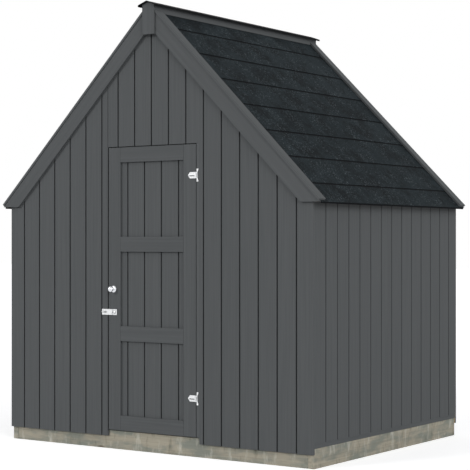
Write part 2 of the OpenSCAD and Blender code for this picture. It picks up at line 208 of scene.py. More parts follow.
# Bare softwood: half matt, pale straw with darker rings and a fine fibre
bare, tree, surface = finish_named("planed_bare_softwood", Roughness=0.62, Specular_IOR_Level=0.4)
_, fibre, rings = wood_grain(tree, 4, 6)
shade = add(tree, "ShaderNodeAttribute", attribute_name="board").outputs["Fac"]
late = add(tree, "ShaderNodeMapRange", {
    "Value": rings, "From Min": 0.45, "From Max": 0.95, "To Max": 0.6})
soft = add(tree, "ShaderNodeMapRange", {"Value": fibre, "To Max": 0.35})
colour = tone("d6bd96")
for share, over in ((shade, "c8ad82"), (late, "ab8658"), (soft, "b9996d")):
    colour = add(tree, "ShaderNodeMix", {0: share, 6: colour, 7: tone(over)}, data_type="RGBA")
bump = add(tree, "ShaderNodeBump", {"Height": fibre, "Distance": 0.0006, "Strength": 0.5})
feed(tree, surface, {"Base Color": colour, "Normal": bump})

for node in ("floor_joists", "corner_posts", "sole_plates", "side_studs", "gable_studs",
             "wall_plates", "ridge_beam", "rafters"):
    timber(node, "shed", bare, "bare_softwood")


def boards(name, outlines, start, end, place, finish, slot, body, node):
    """Boards of these outlines, run from start to end; place turns (u, v, w) to a point."""
    work = bmesh.new()
    grain = work.verts.layers.float_vector.new("grain")
    board = work.verts.layers.float.new("board")
    chance = random.Random(name)
    for outline in outlines:
        shift, shade = chance.uniform(0, along_by), chance.random()
        ends = []
        for w in (start, end):
            ring = [work.verts.new(place(u, v, w)) for u, v in outline]
            for vert, (u, v) in zip(ring, outline):
                vert[grain] = Vector((w + shift, u, v + shift % across_by))
                vert[board] = shade
            ends.append(ring)
        first, last = ends
        work.faces.new(first)
        work.faces.new(list(reversed(last)))
        for i in range(len(first)):
            work.faces.new((first[i - 1], last[i - 1], last[i], first[i]))
    bmesh.ops.recalc_face_normals(work, faces=work.faces)
    return placed(finished(work, name), name, body, finish, slot, *([node] if node else []))


# Floor boards 120 mm wide, laid across the joists with 2 mm gaps and eased upper edges
floor_rows, half_gap, eased = 14, 0.001, 0.002
low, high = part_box("floor_deck")
pitch = (high.y - low.y) / floor_rows
outlines = []
for i in range(floor_rows):
    a, b = low.y + i * pitch + half_gap, low.y + (i + 1) * pitch - half_gap
    outlines.append([(a, low.z), (b, low.z), (b, high.z - eased), (b - eased, high.z),
                     (a + eased, high.z), (a, high.z - eased)])
boards("floor_boards", outlines, low.x, high.x, lambda u, v, w: (w, u, v), bare, "bare_softwood",
       "shed", "floor_deck")

# Roof boards run from gable to gable, thirteen to a slope, with a vee between them underneath
roof_rows, roof_cover, roof_gap, vee = 13, 0.142, 0.0005, 0.004
skin, deck = 0.006, 0.018  # how thick the shingles and the boards are
peak_z = max(v.co.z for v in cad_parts["right_shingles"].data.vertices)
eaves_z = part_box("right_shingles")[0].z
pitch_angle = math.radians(45)
down, out = math.sin(pitch_angle), math.cos(pitch_angle)


def slope_point(side):
    """Turns (distance down the slope, height over the shingles' top, place along the ridge)."""
    return lambda s, d, y: (side * (s * out + d * down), y, peak_z - s * down + d * out)


def slope_end(depth):
    """How far down the slope a layer at that height reaches before the level cut at the eaves."""
    return (peak_z - eaves_z + depth * out) / down


low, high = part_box("right_roof_deck")
top, under = -skin, -skin - deck
for side, node in ((1, "right_roof_deck"), (-1, "left_roof_deck")):
    outlines = []
    for i in range(roof_rows):
        a, b = i * roof_cover + roof_gap, (i + 1) * roof_cover - roof_gap
        upper = [(a, top), (a, under + vee), (a + vee, under)]
        lower = [(b - vee, under), (b, under + vee), (b, top)]
        if i == 0:
            upper = [(-top * down / out, top), (-under * down / out, under)]
        if i == roof_rows - 1:
            lower = [(slope_end(under), under), (slope_end(top), top)]
        outlines.append(upper + lower)
    boards(node + "_boards", outlines, low.y, high.y, slope_point(side), bare, "bare_softwood",
           "shed", node)

# --- Wall cladding -------------------------------------------------------------------------------
# Upright tongued and grooved softwood boards, 138 mm cover width and 18 mm thick, nailed to the
# frame and cut to the roof. Each left edge is chamfered, and every joint leaves a shadow groove.

cover, thick = 0.138, 0.018
groove_w, wall_sunk, chamfer = 0.0085, 0.008, 0.0025  # a joint's width, depth and chamfer
margin = 0.012  # a joint nearer a corner is left out: the board there runs on to the corner

# Opaque dark grey stain, brushed on planed boards: matt, with faint upright streaks, a small drift
# from board to board, and a darker line in each joint, partly stain run together there and partly
# painted shade in the groove
stained, tree, surface = finish_named(
    "dark_grey_opaque_stain", Roughness=0.75, Specular_IOR_Level=0.2)
# Fibre under the stain is a millimetre wide; it is drawn 14 mm wide so that it shows
_, fibre, rings = wood_grain(tree, 14, 11)
shade, joint, raw = (add(tree, "ShaderNodeAttribute", attribute_name=name).outputs["Fac"]
                     for name in ("board", "joint", "raw"))
worn = add(tree, "ShaderNodeMapRange", {
    "Value": fibre, "From Min": 0.42, "From Max": 0.75, "To Max": 0.7})
late = add(tree, "ShaderNodeMapRange", {
    "Value": rings, "From Min": 0.5, "From Max": 1, "To Max": 0.22})
colour = tone("535556")
# The darkest tone goes in the joints: partly stain run together, partly painted shade in the
# groove
for share, over in ((shade, "555758"), (worn, "4b4e4f"), (late, "5d6061"), (joint, "323435")):
    colour = add(tree, "ShaderNodeMix", {0: share, 6: colour, 7: tone(over)}, data_type="RGBA")
# The wall boards' backs are left bare, as the frame that they are nailed to
straw = add(tree, "ShaderNodeMix", {
    0: late, 6: tone("d0b68c"), 7: tone("ab8658")}, data_type="RGBA")
colour = add(tree, "ShaderNodeMix", {0: raw, 6: colour, 7: straw}, data_type="RGBA")
bump = add(tree, "ShaderNodeBump", {"Height": fibre, "Distance": 0.0006, "Strength": 0.4})
feed(tree, surface, {"Base Color": colour, "Normal": bump})


def tree_of(name, sockets):
    """An empty Geometry Nodes tree with named inputs, and the nodes at its two ends."""
    made = bpy.data.node_groups.new(name, "GeometryNodeTree")
    made.interface.new_socket("Geometry", in_out="INPUT", socket_type="NodeSocketGeometry")
    for label, kind in sockets.items():
        made.interface.new_socket(label, in_out="INPUT", socket_type="NodeSocket" + kind)
    made.interface.new_socket("Geometry", in_out="OUTPUT", socket_type="NodeSocketGeometry")
    return made, made.nodes.new("NodeGroupInput").outputs, made.nodes.new("NodeGroupOutput")


def grown(mesh, group, name, sizes):
    """What a tree makes of a start mesh with these input sizes, as a plain mesh."""
    start = bpy.data.objects.new(name, mesh)
    bpy.context.scene.collection.objects.link(start)
    step = start.modifiers.new("grow", "NODES")
    step.node_group = group
    for item in group.interface.items_tree:
        if item.in_out == "INPUT" and item.name in sizes:
            step[item.identifier] = sizes[item.name]
    bpy.context.view_layer.update()
    seen = start.evaluated_get(bpy.context.evaluated_depsgraph_get())
    result = bpy.data.meshes.new_from_object(seen)
    bpy.data.objects.remove(start)
    result.name = name
    return result


# The kinds of node that the trees use most
SUM, XYZ, SPLIT = "ShaderNodeMath", "ShaderNodeCombineXYZ", "ShaderNodeSeparateXYZ"
STORE, REAL = "GeometryNodeStoreNamedAttribute", "GeometryNodeRealizeInstances"

row, given, made_row = tree_of("board_row", {
    "Pitch": "Float", "Boards": "Int", "First edge": "Float", "From": "Float", "To": "Float",
    "Foot": "Float", "Head": "Float", "Peak": "Float", "Fall": "Float", "Turn": "Float",
    "Place": "Vector", "Raw back": "Float", "Seed": "Int", "Finish": "Material"})
line = add(row, "GeometryNodeMeshLine", {
    "Count": given["Boards"], "Start Location": add(row, XYZ, {0: given["First edge"]}),
    "Offset": add(row, XYZ, {0: given["Pitch"]})})
laid = add(row, "GeometryNodeInstanceOnPoints", {"Points": line, "Instance": given["Geometry"]})
real = add(row, REAL, {0: laid})
at = add(row, SPLIT, {0: add(row, "GeometryNodeInputPosition")}).outputs
# Each board has its number along the row, and a chance of its own from that number
past = add(row, SUM, {0: at[0], 1: given["First edge"]}, operation="SUBTRACT")
share = add(row, SUM, {0: past, 1: given["Pitch"]}, operation="DIVIDE")
number = add(row, SUM, {0: share}, operation="FLOOR")
chance = add(row, "FunctionNodeRandomValue", {
    "ID": number, "Seed": given["Seed"]}, data_type="FLOAT")
# Across the wall: what stands past a corner's margin is drawn to the corner
near_start = add(row, SUM, {0: given["From"], 1: margin}, operation="ADD")
near_end = add(row, SUM, {0: given["To"], 1: margin}, operation="SUBTRACT")
shy = add(row, SUM, {0: at[0], 1: near_start}, operation="LESS_THAN")
over = add(row, SUM, {0: at[0], 1: near_end}, operation="GREATER_THAN")
to_start = add(row, SUM, {0: given["From"], 1: at[0]}, operation="SUBTRACT")
to_end = add(row, SUM, {0: given["To"], 1: at[0]}, operation="SUBTRACT")
start_by = add(row, SUM, {0: shy, 1: to_start}, operation="MULTIPLY")
end_by = add(row, SUM, {0: over, 1: to_end}, operation="MULTIPLY")
drawn_by = add(row, SUM, {0: start_by, 1: end_by}, operation="ADD")
u = add(row, SUM, {0: at[0], 1: drawn_by}, operation="ADD")
flat = add(row, "ShaderNodeVectorRotate", {
    "Vector": add(row, XYZ, {0: u, 1: at[1]}), "Angle": given["Turn"]}, rotation_type="Z_AXIS")
moved = add(row, "ShaderNodeVectorMath", {0: flat, 1: given["Place"]}, operation="ADD")
spot = add(row, SPLIT, {0: moved}).outputs
# Upright: from the foot to the head or to the underside of the roof, whichever is lower
off_middle = add(row, SUM, {0: spot[0]}, operation="ABSOLUTE")
fallen = add(row, SUM, {0: off_middle, 1: given["Fall"]}, operation="MULTIPLY")
roof = add(row, SUM, {0: given["Peak"], 1: fallen}, operation="SUBTRACT")
head = add(row, SUM, {0: roof, 1: given["Head"]}, operation="MINIMUM")
is_top = add(row, SUM, {0: at[2], 1: 0.5}, operation="GREATER_THAN")
tall = add(row, SUM, {0: head, 1: given["Foot"]}, operation="SUBTRACT")
rise = add(row, SUM, {0: is_top, 1: tall}, operation="MULTIPLY")
z = add(row, SUM, {0: given["Foot"], 1: rise}, operation="ADD")
# The grain runs up the board from a place of its own
shift = add(row, SUM, {0: chance, 1: float(along_by)}, operation="MULTIPLY")
along = add(row, SUM, {0: z, 1: shift}, operation="ADD")
# The stain darkens between these depths of a joint, partly as stain run together and partly as
# painted shade in the groove, but not at the row's two ends or behind the boards; what faces
# straight back is bare
shallow, deep, hair, behind, straight_back = 0.0015, 0.0045, 0.0005, 0.012, 0.9
sunken = add(row, "ShaderNodeMapRange", {"Value": at[1], "From Min": shallow, "From Max": deep})
in_start = add(row, SUM, {0: given["From"], 1: hair}, operation="ADD")
in_end = add(row, SUM, {0: given["To"], 1: hair}, operation="SUBTRACT")
after = add(row, SUM, {0: u, 1: in_start}, operation="GREATER_THAN")
before = add(row, SUM, {0: u, 1: in_end}, operation="LESS_THAN")
inside = add(row, SUM, {0: after, 1: before}, operation="MULTIPLY")
front = add(row, SUM, {0: at[1], 1: behind}, operation="LESS_THAN")
sunk_inside = add(row, SUM, {0: sunken, 1: inside}, operation="MULTIPLY")
pooled_stain_and_shade = add(row, SUM, {0: sunk_inside, 1: front}, operation="MULTIPLY")
facing = add(row, SPLIT, {0: add(row, "GeometryNodeInputNormal")}).outputs
is_back = add(row, SUM, {0: facing[1], 1: straight_back}, operation="GREATER_THAN")
back = add(row, SUM, {0: is_back, 1: given["Raw back"]}, operation="MULTIPLY")
kept = add(row, STORE, {
    "Geometry": real, "Name": "grain", "Value": add(row, XYZ, {0: along, 1: u, 2: at[1]})},
    data_type="FLOAT_VECTOR")
kept = add(row, STORE, {"Geometry": kept, "Name": "board", "Value": chance}, data_type="FLOAT")
kept = add(row, STORE, {"Geometry": kept, "Name": "joint", "Value": pooled_stain_and_shade}, data_type="FLOAT")
kept = add(row, STORE, {
    "Geometry": kept, "Name": "raw", "Value": back}, data_type="FLOAT", domain="FACE")
shaped = add(row, "GeometryNodeSetPosition", {
    "Geometry": kept, "Position": add(row, XYZ, {0: spot[0], 1: spot[1], 2: z})})
closed = add(row, "GeometryNodeMergeByDistance", {"Geometry": shaped, "Distance": 1e-6})
painted = add(row, "GeometryNodeSetMaterial", {"Geometry": closed, "Material": given["Finish"]})
feed(row, made_row, {0: painted})


def board_blank(width, depth, sunk):
    """One board, a unit long: half a groove, its chamfer, the face, half a groove, the back."""
    side, bevel, ease = 0.00015, 0.0025, 0.0006  # clearance, the back's arris, the face's arris
    half = groove_w / 2
    outline = [(side + bevel, depth), (side, depth - bevel), (side, sunk), (half, sunk),
               (half, chamfer), (half + chamfer, 0), (width - half - ease, 0),
               (width - half, ease), (width - half, sunk), (width - side, sunk),
               (width - side, depth - bevel), (width - side - bevel, depth)]
    work = bmesh.new()
    foot, top = ([work.verts.new((x, y, z)) for x, y in outline] for z in (0, 1))
    work.faces.new(foot)
    work.faces.new(top)
    for i in range(len(outline)):
        work.faces.new((foot[i - 1], foot[i], top[i], top[i - 1]))
    bmesh.ops.recalc_face_normals(work, faces=work.faces)
    return finished(work, "board_blank")


roof_line = peak_z - (skin + deck) / out
half_w, half_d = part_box("right_wall")[1].x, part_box("back_wall")[1].y
slip_by = 0.0155  # how far from the middle of a side wall its nearest joint lies
door_gap = 0.004  # how much wider the shadow gap is beside the door's closing edge
above_all = 9.0  # a head higher than the roof, which then cuts the boards
walls = {
    # name: (turn, place, where one joint lies)
    "front_wall_left": (0.0, (0.0, -half_d, 0.0), 0.0),
    "front_wall_right": (0.0, (0.0, -half_d, 0.0), 0.0),
    "front_gable": (0.0, (0.0, -half_d, 0.0), 0.0),
    "back_wall": (math.pi, (0.0, half_d, 0.0), 0.0),
    "left_wall": (-math.pi / 2, (-half_w, 0.0, 0.0), -slip_by),
    "right_wall": (math.pi / 2, (half_w, 0.0, 0.0), slip_by),
}
for seed, (node, (turn, place, joint_at)) in enumerate(walls.items()):
    low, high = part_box(node)
    start, stop = (low.y, high.y) if node in ("left_wall", "right_wall") else (low.x, high.x)
    if node == "front_wall_left":
        stop -= door_gap
    first = math.floor((start + margin - joint_at) / cover) * cover + joint_at
    mesh = grown(board_blank(cover, thick, wall_sunk), row, node + "_boards", {
        "Pitch": cover, "Boards": math.ceil((stop - margin - first) / cover), "First edge": first,
        "From": start, "To": stop, "Foot": low.z, "Head": above_all, "Peak": roof_line,
        "Fall": down / out, "Turn": turn, "Place": place, "Raw back": 1.0, "Seed": seed,
        "Finish": stained})
    placed(mesh, node + "_boards", "shed", None, "painted_cladding", node)

# --- Painted trim --------------------------------------------------------------------------------
# Planed boards in the same stain: the sill strips under the side walls, the door's frame and
# hinge strip, barge boards, cover boards and finials nailed on last, and the saddle on the ridge.

for node in ("sill_strips", "door_posts", "door_head", "door_stops", "hinge_strip",
             "front_barge_boards", "back_barge_boards", "front_cover_boards", "back_cover_boards",
             "front_finial", "back_finial", "ridge_block"):
    timber(node, "shed", stained, "painted_trim")

# --- Shingles ------------------------------------------------------------------------------------
# Strips of bitumen shingle a metre long, nailed in courses that overlap, each on the one below.
# Their slate granules are dull blue-black with a few pale ones; the lower edges stand up 3.4 mm.

# Matt and gritty: blue-black granules, some rubbed pale, with painted shadow under each course's
# edge
felt, tree, surface = finish_named(
    "slate_granule_bitumen", Roughness=0.95, Specular_IOR_Level=0.1)
where = add(tree, "ShaderNodeTexCoord").outputs["Object"]
shade, fall = (add(tree, "ShaderNodeAttribute", attribute_name=name).outputs["Fac"]
               for name in ("board", "fall"))
# Rubbed and shaded patches a hand wide
cloud = add(tree, "ShaderNodeTexNoise", {
    "Vector": where, "Scale": 6, "Detail": 6, "Roughness": 0.75})
dull = add(tree, "ShaderNodeMapRange", {
    "Value": cloud, "From Min": 0.45, "From Max": 0.6, "To Max": 0.85})
# Granules are 1 to 2 mm; they are drawn about 12 mm wide so that they show
speck = add(tree, "ShaderNodeTexNoise", {
    "Vector": where, "Scale": 80, "Detail": 3, "Roughness": 0.75})
pale = add(tree, "ShaderNodeMapRange", {
    "Value": speck, "From Min": 0.55, "From Max": 0.7, "To Max": 0.85})
crowd = add(tree, "ShaderNodeTexNoise", {"Vector": where, "Scale": 9, "Detail": 2})
crowded = add(tree, "ShaderNodeMapRange", {
    "Value": crowd, "From Min": 0.42, "From Max": 0.6, "To Min": 0.2})
some = add(tree, SUM, {0: pale, 1: crowded}, operation="MULTIPLY")
# Painted shadow lies below the edge of the course above, full for 6 mm and gone after 14 mm
painted_edge_shadow = add(tree, "ShaderNodeMapRange", {"Value": fall, "From Min": 0.014, "From Max": 0.006})
colour = tone("1e2528")
for share, over in ((shade, "272e31"), (dull, "14181a"), (some, "697276"), (painted_edge_shadow, "0d0f11")):
    colour = add(tree, "ShaderNodeMix", {0: share, 6: colour, 7: tone(over)}, data_type="RGBA")
bump = add(tree, "ShaderNodeBump", {"Height": speck, "Distance": 0.002, "Strength": 0.7})
feed(tree, surface, {"Base Color": colour, "Normal": bump})

courses, given, made_courses = tree_of("shingle_courses", {
    "Courses": "Int", "Strips": "Int", "Exposure": "Float", "First": "Float", "Length": "Float",
    "From": "Float", "To": "Float", "Peak": "Float", "Eaves": "Float", "Side": "Float",
    "Seed": "Int", "Finish": "Material"})
# One point to a strip: its course, its place in the course, and the slip of that course
in_all = add(courses, SUM, {0: given["Courses"], 1: given["Strips"]}, operation="MULTIPLY")
dots = add(courses, "GeometryNodePoints", {"Count": in_all})
index = add(courses, "GeometryNodeInputIndex")
share = add(courses, SUM, {0: index, 1: given["Strips"]}, operation="DIVIDE")
course = add(courses, SUM, {0: share}, operation="FLOOR")
laid_before = add(courses, SUM, {0: course, 1: given["Strips"]}, operation="MULTIPLY")
strip = add(courses, SUM, {0: index, 1: laid_before}, operation="SUBTRACT")
slip, drift = (add(courses, "FunctionNodeRandomValue", {
    "ID": each, "Seed": given["Seed"]}, data_type="FLOAT") for each in (course, index))
slipped = add(courses, SUM, {0: strip, 1: slip}, operation="SUBTRACT")
run_on = add(courses, SUM, {0: slipped, 1: given["Length"]}, operation="MULTIPLY")
along = add(courses, SUM, {0: given["From"], 1: run_on}, operation="ADD")
lowered = add(courses, SUM, {0: course, 1: given["Exposure"]}, operation="MULTIPLY")
down_to = add(courses, SUM, {0: given["First"], 1: lowered}, operation="ADD")
spread = add(courses, "GeometryNodeSetPosition", {
    "Geometry": dots, "Position": add(courses, XYZ, {0: down_to, 1: along})})
named = add(courses, STORE, {
    "Geometry": spread, "Name": "board", "Value": drift}, data_type="FLOAT")
laid = add(courses, "GeometryNodeInstanceOnPoints", {
    "Points": named, "Instance": given["Geometry"]})
real = add(courses, REAL, {0: laid})
# Cut level at the eaves, at the ridge and at the two gables, then laid on its slope
at = add(courses, SPLIT, {0: add(courses, "GeometryNodeInputPosition")}).outputs
raised = add(courses, SUM, {0: at[2], 1: out}, operation="MULTIPLY")
roof_h = add(courses, SUM, {0: given["Peak"], 1: given["Eaves"]}, operation="SUBTRACT")
level_h = add(courses, SUM, {0: roof_h, 1: raised}, operation="ADD")
level = add(courses, SUM, {0: level_h, 1: down}, operation="DIVIDE")
cut_low = add(courses, SUM, {0: at[0], 1: level}, operation="MINIMUM")
run = add(courses, SUM, {0: cut_low, 1: 0.0}, operation="MAXIMUM")
cut_front = add(courses, SUM, {0: at[1], 1: given["From"]}, operation="MAXIMUM")
y = add(courses, SUM, {0: cut_front, 1: given["To"]}, operation="MINIMUM")
sideways = add(courses, SUM, {0: run, 1: out}, operation="MULTIPLY")
stand = add(courses, SUM, {0: at[2], 1: down}, operation="MULTIPLY")
away = add(courses, SUM, {0: sideways, 1: stand}, operation="ADD")
x = add(courses, SUM, {0: given["Side"], 1: away}, operation="MULTIPLY")
fallen = add(courses, SUM, {0: run, 1: down}, operation="MULTIPLY")
lower_z = add(courses, SUM, {0: given["Peak"], 1: fallen}, operation="SUBTRACT")
z = add(courses, SUM, {0: lower_z, 1: raised}, operation="ADD")
# A strip that is cut short at the eaves or the ridge keeps its true distance from the course above
told = add(courses, "GeometryNodeInputNamedAttribute", {"Name": "fall"}, data_type="FLOAT")
cut_by = add(courses, SUM, {0: run, 1: at[0]}, operation="SUBTRACT")
true_fall = add(courses, SUM, {0: told, 1: cut_by}, operation="ADD")
kept = add(courses, STORE, {
    "Geometry": real, "Name": "fall", "Value": true_fall}, data_type="FLOAT")
shaped = add(courses, "GeometryNodeSetPosition", {
    "Geometry": kept, "Position": add(courses, XYZ, {0: x, 1: y, 2: z})})
closed = add(courses, "GeometryNodeMergeByDistance", {"Geometry": shaped, "Distance": 1e-6})
painted = add(courses, "GeometryNodeSetMaterial", {
    "Geometry": closed, "Material": given["Finish"]})
feed(courses, made_courses, {0: painted})


def strip_blank(length, exposure, lap, gap):
    """One shingle strip: thin where the next course laps it, 3.4 mm at its lower edge."""
    # Heights against the shingles' top: under the next course, and at the lower edge
    lapped, crown, lip, foot, rounding = -0.0047, -0.0002, -0.0012, -0.0036, 0.0015
    outline = [(-lap, -skin), (-lap, lapped), (exposure - rounding, crown), (exposure, lip),
               (exposure, foot)]
    work = bmesh.new()
    fall = work.verts.layers.float.new("fall")
    ends = [[work.verts.new((s, y, d)) for s, d in outline] for y in (gap / 2, length - gap / 2)]
    # The lower edge's faces get a fall of 0, so the painted shadow covers them fully
    for vert in work.verts:
        on_top = vert.co.z > -0.001 or vert.co.x < 0
        vert[fall] = vert.co.x if on_top else 0.0
    work.faces.new(ends[0])
    work.faces.new(ends[1])
    for i in range(len(outline)):
        work.faces.new((ends[0][i - 1], ends[0][i], ends[1][i], ends[1][i - 1]))
    bmesh.ops.recalc_face_normals(work, faces=work.faces)
    return finished(work, "strip_blank")


exposure, first_course, strip_long, lap, strip_gap = 0.2385, -0.031, 1.0, 0.05, 0.001
low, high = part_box("right_shingles")
for side, node in ((1, "right_shingles"), (-1, "left_shingles")):
    blank = strip_blank(strip_long, exposure, lap, strip_gap)
    mesh = grown(blank, courses, node + "_courses", {
        "Courses": 8, "Strips": 3, "Exposure": exposure, "First": first_course,
        "Length": strip_long, "From": low.y, "To": high.y, "Peak": peak_z, "Eaves": eaves_z,
        "Side": float(side), "Seed": 4 + side, "Finish": felt})
    work = bmesh.new()
    work.from_mesh(mesh)
    bmesh.ops.recalc_face_normals(work, faces=work.faces)
    work.to_mesh(mesh)
    work.free()
    placed(mesh, node + "_courses", "shed", None, "shingles", node)

# A strip of the same felt is folded under the roof boards' cut ends and drips clear of the wall
# It carries no fall, so the felt's painted shadow covers it all: a near-black strip that draws the
# shade along the eaves
drip, felt_t, drip_t, tuck, set_back = 0.010, 0.002, 0.003, 0.033, 0.001
edge_x = high.x - set_back
# A bar along the eaves with a tongue that runs in under the boards
fold = [(edge_x, 0.0), (edge_x, -drip), (edge_x - drip_t, -drip), (edge_x - drip_t, -felt_t),
        (edge_x - tuck, -felt_t), (edge_x - tuck, 0.0)]
for side, name in ((1, "right_eaves_strip"), (-1, "left_eaves_strip")):
    boards(name, [fold], low.y, high.y, lambda u, v, w: (side * u, w, eaves_z + v), felt,
           "shingles", "shed", None)

# --- Ridge cap -----------------------------------------------------------------------------------
# Steel sheet folded to a shallow vee and coated matt black, nailed on the ridge timber. Its two
# long edges are turned down 9 mm, so that rain drips clear.

# Black powder coat: no shine at any angle, with a little dust and a fine orange peel
coated, tree, surface = finish_named(
    "matt_black_coated_steel", Roughness=0.7, Specular_IOR_Level=0.04)
where = add(tree, "ShaderNodeTexCoord").outputs["Object"]
dust = add(tree, "ShaderNodeTexNoise", {
    "Vector": where, "Scale": 14, "Detail": 4, "Roughness": 0.6})
colour = add(tree, "ShaderNodeMix", {
    0: dust, 6: tone("101112"), 7: tone("1b1c1d")}, data_type="RGBA")
peel = add(tree, "ShaderNodeTexNoise", {"Vector": where, "Scale": 400, "Detail": 1})
bump = add(tree, "ShaderNodeBump", {"Height": peel, "Distance": 0.0002, "Strength": 0.3})
feed(tree, surface, {"Base Color": colour, "Normal": bump})

low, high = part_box("ridge_cap")
# The sheet, its turned down edges' depth and thickness, and how far it lies over the plain vee
sheet, hem, hem_t, over_solid, cap_fall = 0.003, 0.012, 0.0015, 0.002, math.radians(20)
cap_half = high.x
inner = cap_half - hem_t
top_z = high.z + over_solid
edge_z = top_z - cap_half * math.tan(cap_fall)
folded = [(0.0, top_z), (cap_half, edge_z), (cap_half, edge_z - hem), (inner, edge_z - hem),
          (inner, edge_z - sheet), (0.0, top_z - sheet), (-inner, edge_z - sheet),
          (-inner, edge_z - hem), (-cap_half, edge_z - hem), (-cap_half, edge_z)]
boards("ridge_cap_sheet", [folded], low.y, high.y, lambda u, v, w: (u, w, v), coated,
       "black_metal", "shed", "ridge_cap")

# --- Door leaf -----------------------------------------------------------------------------------
# Upright boards behind two stiles and four rails that are screwed on from the back, all in the
# wall's stain. The stiles' long edges are rounded a little more than the rails'.

door_rows, door_sunk, no_roof = 7, 0.007, 99.0
low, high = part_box("door_boards")
middle = (low.x + high.x) / 2
mesh = grown(board_blank(cover, high.y - low.y, door_sunk), row, "door_leaf_boards", {
    "Pitch": cover, "Boards": door_rows, "First edge": middle - door_rows / 2 * cover,
    "From": low.x, "To": high.x, "Foot": low.z, "Head": high.z, "Peak": no_roof, "Fall": 0.0,
    "Turn": 0.0, "Place": (0.0, low.y, 0.0), "Raw back": 0.0, "Seed": 11, "Finish": stained})
placed(mesh, "door_leaf_boards", "door", None, "painted_cladding", "door_boards")
for node, arris in (("door_stiles", 0.003), ("door_rails", 0.0015)):
    timber(node, "door", stained, "painted_trim", arris)

# --- Hinges --------------------------------------------------------------------------------------
# Pressed steel tee hinges, bright zinc plated: a waisted plate on the strip, a pointed strap on
# the stile, both bent round one pin and held by cross-head screws.

# Bright zinc: silver and half glossy, clouded by its small crystals, with a faint brushed grain
zinc, tree, surface = finish_named("bright_zinc_plate", Metallic=1.0, Roughness=0.32)
where = add(tree, "ShaderNodeTexCoord").outputs["Object"]
bloom = add(tree, "ShaderNodeTexVoronoi", {"Vector": where, "Scale": 180, "Randomness": 1})
colour = add(tree, "ShaderNodeMix", {
    0: bloom.outputs["Distance"], 6: tone("e6e7e7"), 7: tone("cacbcd")}, data_type="RGBA")
brushed = add(tree, "ShaderNodeTexNoise", {"Vector": where, "Scale": 260, "Detail": 2})
bump = add(tree, "ShaderNodeBump", {"Height": brushed, "Distance": 0.0001, "Strength": 0.4})
feed(tree, surface, {"Base Color": colour, "Normal": bump})


def metalwork(node, body):
    """A CAD node's metal as a clean mesh with eased edges, smooth where it is round."""
    work = bmesh.new()
    work.from_mesh(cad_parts[node].data)
    bmesh.ops.remove_doubles(work, verts=work.verts, dist=1e-6)
    flat, corner, smooth = (math.radians(a) for a in (0.5, 35, 30))
    bmesh.ops.dissolve_limit(work, angle_limit=flat, verts=work.verts, edges=work.edges)
    sharp = [e for e in work.edges if e.calc_face_angle(0) > corner]
    bmesh.ops.bevel(work, geom=sharp, offset=0.0004, segments=1, profile=0.5, affect="EDGES",
                    clamp_overlap=True)
    mesh = finished(work, node + "_look")
    mesh.shade_smooth()
    mesh.set_sharp_from_angle(angle=smooth)
    return placed(mesh, node + "_look", body, zinc, "zinc_plate", node)


screw_row, given, made_screws = tree_of("screw_row", {
    "Screw": "Object", "Size": "Float", "Finish": "Material"})
screw = add(screw_row, "GeometryNodeObjectInfo", {"Object": given["Screw"]})
spin = add(screw_row, "FunctionNodeRandomValue", {2: 0.0, 3: 3.0, "Seed": 3}, data_type="FLOAT")
set_in = add(screw_row, "GeometryNodeInstanceOnPoints", {
    "Points": given["Geometry"], "Instance": screw.outputs["Geometry"],
    "Rotation": add(screw_row, XYZ, {1: spin}),
    "Scale": add(screw_row, XYZ, {axis: given["Size"] for axis in range(3)})})
real = add(screw_row, REAL, {0: set_in})
painted = add(screw_row, "GeometryNodeSetMaterial", {
    "Geometry": real, "Material": given["Finish"]})
feed(screw_row, made_screws, {0: painted})


def screw_blank():
    """A domed screw head a unit in radius that faces -Y, with a cross recess."""
    steps = (-1.0, -0.6, -0.16, 0.16, 0.6, 1.0)
    dome, flatter, recess, taper = -0.55, 0.75, 0.35, 0.85
    work = bmesh.new()
    grid = {}
    for i, a in enumerate(steps):
        for j, b in enumerate(steps):
            x, z = a * math.sqrt(1 - b * b / 2), b * math.sqrt(1 - a * a / 2)
            grid[i, j] = work.verts.new((x, dome * (1 - flatter * (x * x + z * z)), z))
    cells = {(i, j): work.faces.new((
        grid[i, j], grid[i + 1, j], grid[i + 1, j + 1], grid[i, j + 1]))
        for i in range(len(steps) - 1) for j in range(len(steps) - 1)}
    cross = [cells[i, j] for i, j in ((2, 1), (2, 2), (2, 3), (1, 2), (3, 2))]
    rim = [e for e in work.edges if e.is_boundary]
    skirt = bmesh.ops.extrude_edge_only(work, edges=rim)["geom"]
    for vert in (g for g in skirt if isinstance(g, bmesh.types.BMVert)):
        vert.co.y = 0.0
    bmesh.ops.holes_fill(work, edges=[e for e in work.edges if e.is_boundary], sides=0)
    sunk = bmesh.ops.extrude_face_region(work, geom=cross)["geom"]
    bmesh.ops.delete(work, geom=cross, context="FACES_ONLY")
    for vert in (g for g in sunk if isinstance(g, bmesh.types.BMVert)):
        vert.co.y += recess
        vert.co.x *= taper
        vert.co.z *= taper
    bmesh.ops.recalc_face_normals(work, faces=work.faces)
    # The extrusion leaves its faces in any order, so they are put in one
    order = Vector((1.0, 7.3, 53.1))
    work.verts.sort(key=lambda v: v.co.dot(order))
    work.faces.sort(key=lambda f: f.calc_center_median().dot(order))
    return finished(work, "screw_blank")


def screws(name, places, radius, body):
    """Screw heads of one radius at these places, as one piece."""
    dots = bpy.data.meshes.new(name)
    dots.from_pydata(places, [], [])
    blank = bpy.data.objects.new("screw_blank", screw_blank())
    mesh = grown(dots, screw_row, name, {"Screw": blank, "Size": radius, "Finish": zinc})
    bpy.data.objects.remove(blank)
    return placed(mesh, name, body, None, "zinc_plate")


